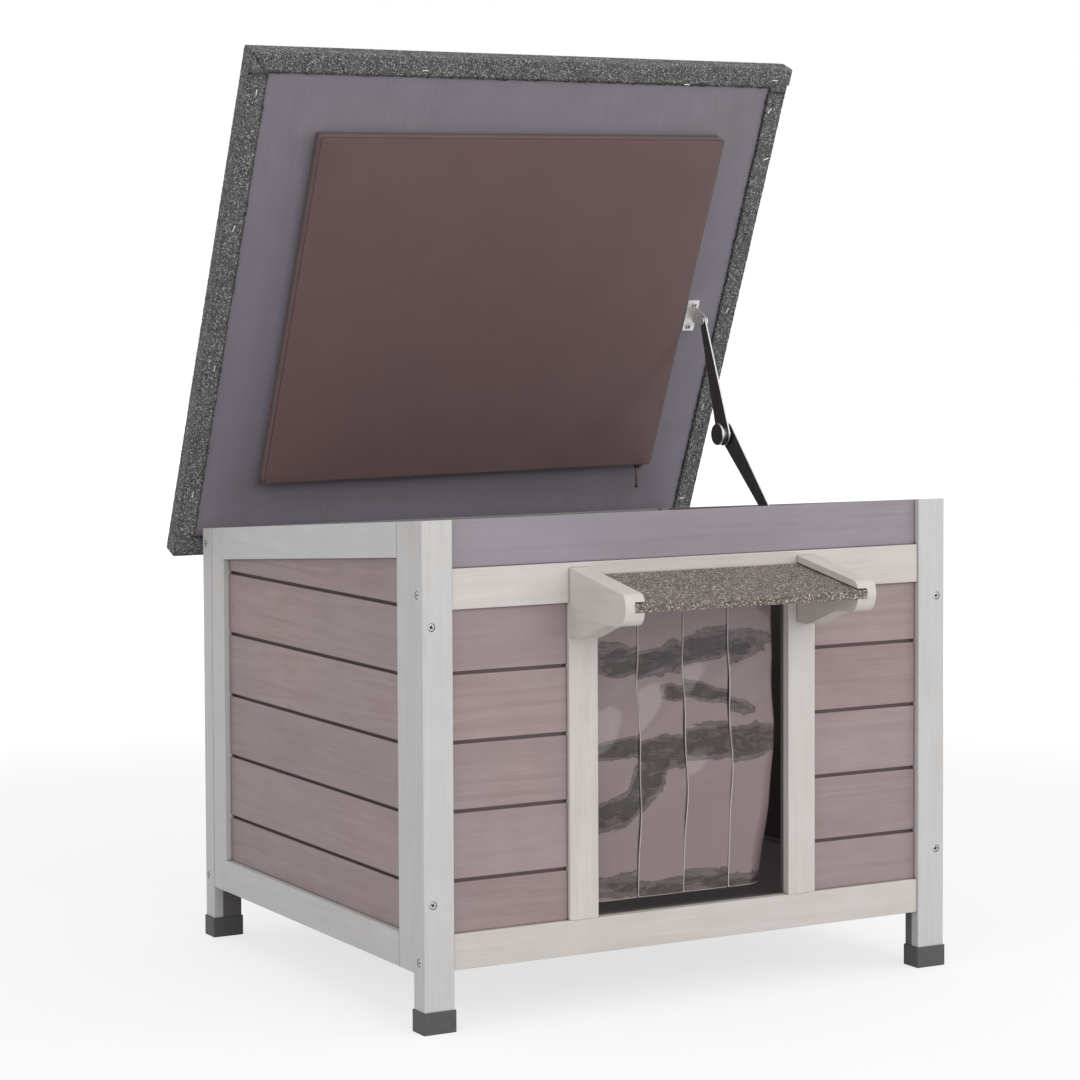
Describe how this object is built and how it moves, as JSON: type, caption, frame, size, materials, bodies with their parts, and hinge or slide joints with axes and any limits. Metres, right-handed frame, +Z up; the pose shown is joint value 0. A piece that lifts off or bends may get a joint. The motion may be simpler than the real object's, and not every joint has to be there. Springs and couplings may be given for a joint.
{
  "type": "cat house",
  "caption": "Wooden cat house on capped feet, with a doorway, strip curtain, canopy and a hinged felt-covered lid on a folding stay, with a zipped pad under it.",
  "frame": {"origin": "on the floor, under the middle of the object's box with the lid open", "axes": "+X to the right, the doorway faces -Y, +Z up"},
  "size_m": [0.612, 0.6314, 0.8929],
  "materials": {
    "frame_wood": "pale grey stain, satin",
    "front_wood": "warm white stain, satin",
    "slat_wood": "mauve grey stain, satin",
    "lid_board": "grey stained plywood",
    "cap_rubber": "matt moulded rubber",
    "roof_felt": "mineral roofing felt, speckled",
    "clear_strip": "clear soft plastic",
    "pad_cloth": "brown woven cloth",
    "zip_metal": "dark bronze",
    "bright_steel": "bright zinc",
    "dark_steel": "dark coated steel"
  },
  "bodies": {
    "house": {"post_front_left": "frame_wood", "post_front_right": "frame_wood", "post_back_left": "frame_wood", "post_back_right": "frame_wood", "foot_cap_front_left": "cap_rubber", "foot_cap_front_right": "cap_rubber", "foot_cap_back_left": "cap_rubber", "foot_cap_back_right": "cap_rubber", "left_side_front_stile": "frame_wood", "left_side_rear_stile": "frame_wood", "left_side_top_rail": "frame_wood", "left_side_bottom_rail": "frame_wood", "right_side_front_stile": "frame_wood", "right_side_rear_stile": "frame_wood", "right_side_top_rail": "frame_wood", "right_side_bottom_rail": "frame_wood", "front_bottom_rail": "front_wood", "front_top_rail": "front_wood", "door_jamb_left": "front_wood", "door_jamb_right": "front_wood", "front_top_board": "slat_wood", "canopy_bracket_left": "front_wood", "canopy_bracket_right": "front_wood", "canopy_board": "frame_wood", "canopy_felt": "roof_felt", "back_top_rail": "frame_wood", "back_bottom_rail": "frame_wood", "floor_board": "frame_wood", "floor_cleat_left": "frame_wood", "floor_cleat_right": "frame_wood", "front_slats_left": "slat_wood", "front_slats_right": "slat_wood", "left_slats": "slat_wood", "right_slats": "slat_wood", "back_slats": "slat_wood", "flap_band": "clear_strip", "flap_batten": "frame_wood", "hinge_body_leaves": "bright_steel", "hinge_pins": "bright_steel", "stay_wall_plate": "bright_steel", "body_screws": "bright_steel"},
    "lid": {"lid_panel": "lid_board", "lid_felt": "roof_felt", "felt_staples": "bright_steel", "pad": "pad_cloth", "zip_slider": "zip_metal", "hinge_lid_leaves": "bright_steel", "stay_lid_plate": "bright_steel", "lid_screws": "bright_steel"},
    "stay_upper": {"stay_upper_arm": "dark_steel", "stay_knee_stud": "dark_steel"},
    "stay_lower": {"stay_lower_arm": "dark_steel"},
    "zip_pull": {"zip_pull": "zip_metal"},
    "flap_1": {"flap_1": "clear_strip"},
    "flap_2": {"flap_2": "clear_strip"},
    "flap_3": {"flap_3": "clear_strip"},
    "flap_4": {"flap_4": "clear_strip"}
  },
  "joints": [
    {"name": "lid_hinge", "type": "hinge", "parent": "house", "child": "lid", "pos_m": [0, 0.28155, 0.41343], "axis": [1, 0, 0], "range_deg": [0, 62.4]},
    {"name": "stay_upper_pivot", "type": "hinge", "parent": "lid", "child": "stay_upper", "pos_m": [0.2563, 0.17645, 0.6249], "axis": [1, 0, 0], "range_deg": [0, 38.3]},
    {"name": "stay_knee", "type": "hinge", "parent": "stay_upper", "child": "stay_lower", "pos_m": [0.2613, 0.13605, 0.5046], "axis": [1, 0, 0], "range_deg": [-154.8, 0]},
    {"name": "zip_pull_swing", "type": "hinge", "parent": "lid", "child": "zip_pull", "pos_m": [0.2205, 0.25671, 0.46575], "axis": [1, 0, 0], "range_deg": [-85, 35]},
    {"name": "flap_1_swing", "type": "hinge", "parent": "house", "child": "flap_1", "pos_m": [-0.07825, -0.20075, 0.373], "axis": [1, 0, 0], "range_deg": [-75, 75]},
    {"name": "flap_2_swing", "type": "hinge", "parent": "house", "child": "flap_2", "pos_m": [-0.02895, -0.20075, 0.373], "axis": [1, 0, 0], "range_deg": [-75, 75]},
    {"name": "flap_3_swing", "type": "hinge", "parent": "house", "child": "flap_3", "pos_m": [0.02035, -0.20075, 0.373], "axis": [1, 0, 0], "range_deg": [-75, 75]},
    {"name": "flap_4_swing", "type": "hinge", "parent": "house", "child": "flap_4", "pos_m": [0.06965, -0.20075, 0.373], "axis": [1, 0, 0], "range_deg": [-75, 75]}
  ],
  "couplings": [
    {"joint": "stay_upper_pivot", "follows": "lid_hinge", "ratio": 0.6101},
    {"joint": "stay_knee", "follows": "lid_hinge", "ratio": -2.4738}
  ]
}
